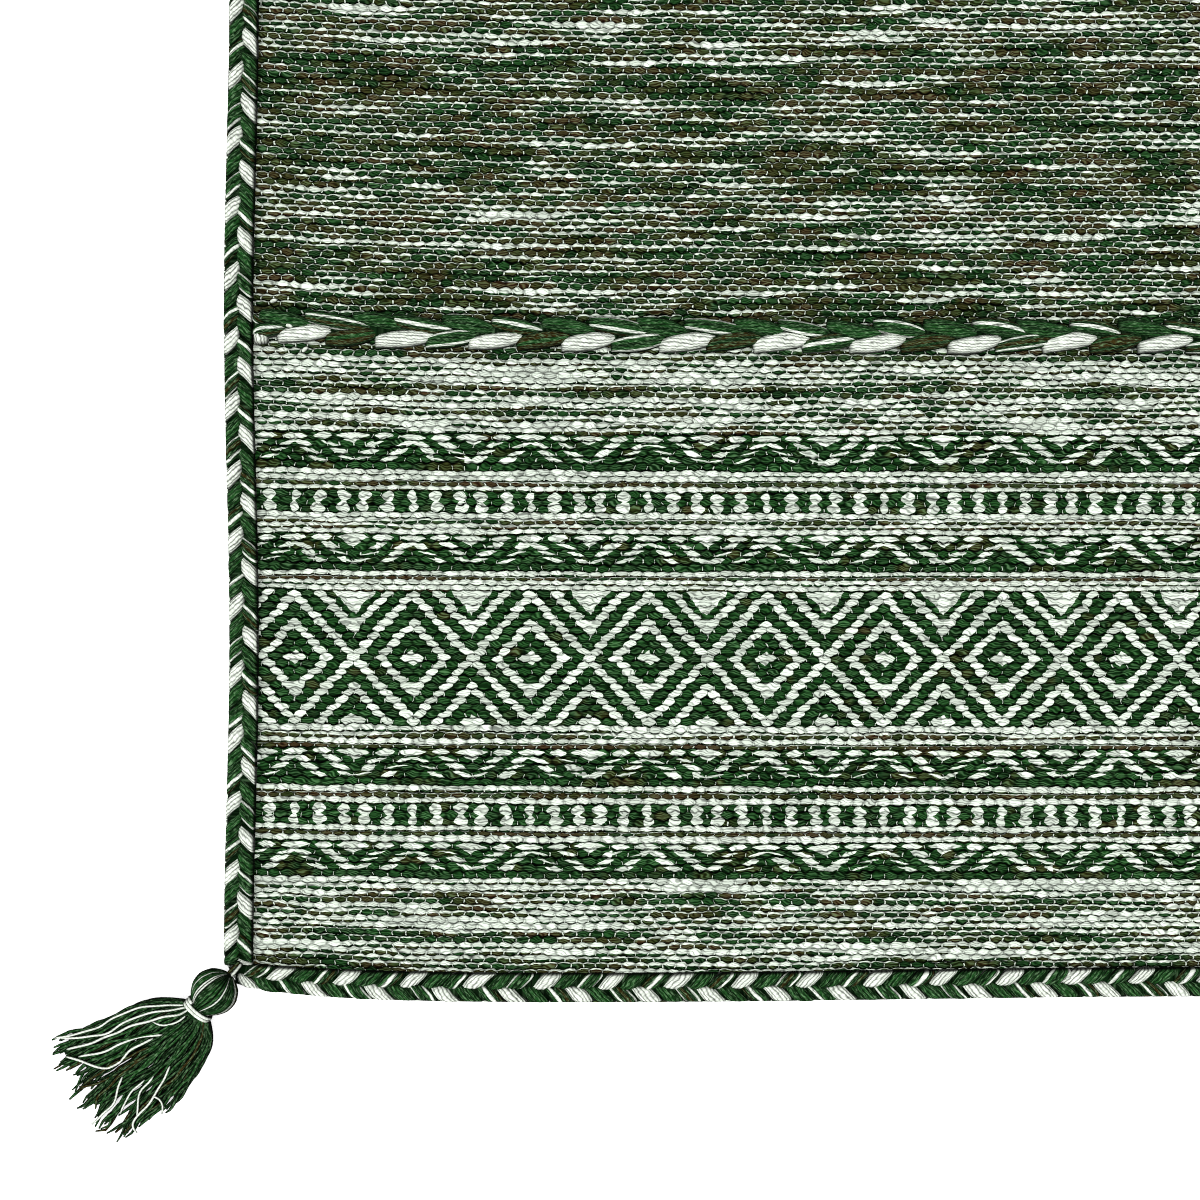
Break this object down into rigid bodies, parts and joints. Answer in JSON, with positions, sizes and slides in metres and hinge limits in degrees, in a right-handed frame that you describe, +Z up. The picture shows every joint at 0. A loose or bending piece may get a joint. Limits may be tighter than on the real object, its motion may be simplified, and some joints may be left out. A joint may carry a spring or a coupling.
{
  "type": "flat-woven rug",
  "caption": "Flat-woven kilim rug lying flat, with patterned end panels, plaits sewn along its edges and across each panel, and a tied tassel at each corner.",
  "frame": {"origin": "middle of the underside of the box round the whole rug, tassels included, on the floor", "axes": "+Z up from the floor, +Y along the rug's length towards its far end, +X across it to the right"},
  "size_m": [1.0644, 1.622, 0.0182],
  "materials": {
    "woven_cotton": "weft-faced plain weave of mixed green, brown and pale mint cotton yarns",
    "edge_plait_cotton": "three-strand plait of green, pale and mixed cotton yarns",
    "cross_plait_cotton": "four-strand plait of green, pale and mixed cotton yarns",
    "tassel_cotton": "cut plied cotton yarns, mostly dark green with a few pale ones",
    "tie_cotton": "pale plied cotton yarn"
  },
  "bodies": {
    "root": {"cloth": "woven_cotton", "plait_near": "edge_plait_cotton", "plait_far": "edge_plait_cotton", "plait_left": "edge_plait_cotton", "plait_right": "edge_plait_cotton", "cross_plait_near": "cross_plait_cotton", "cross_plait_far": "cross_plait_cotton", "tassel_near_left": "tassel_cotton", "tassel_near_right": "tassel_cotton", "tassel_far_right": "tassel_cotton", "tassel_far_left": "tassel_cotton", "tie_near_left": "tie_cotton", "tie_near_right": "tie_cotton", "tie_far_right": "tie_cotton", "tie_far_left": "tie_cotton"}
  },
  "joints": []
}
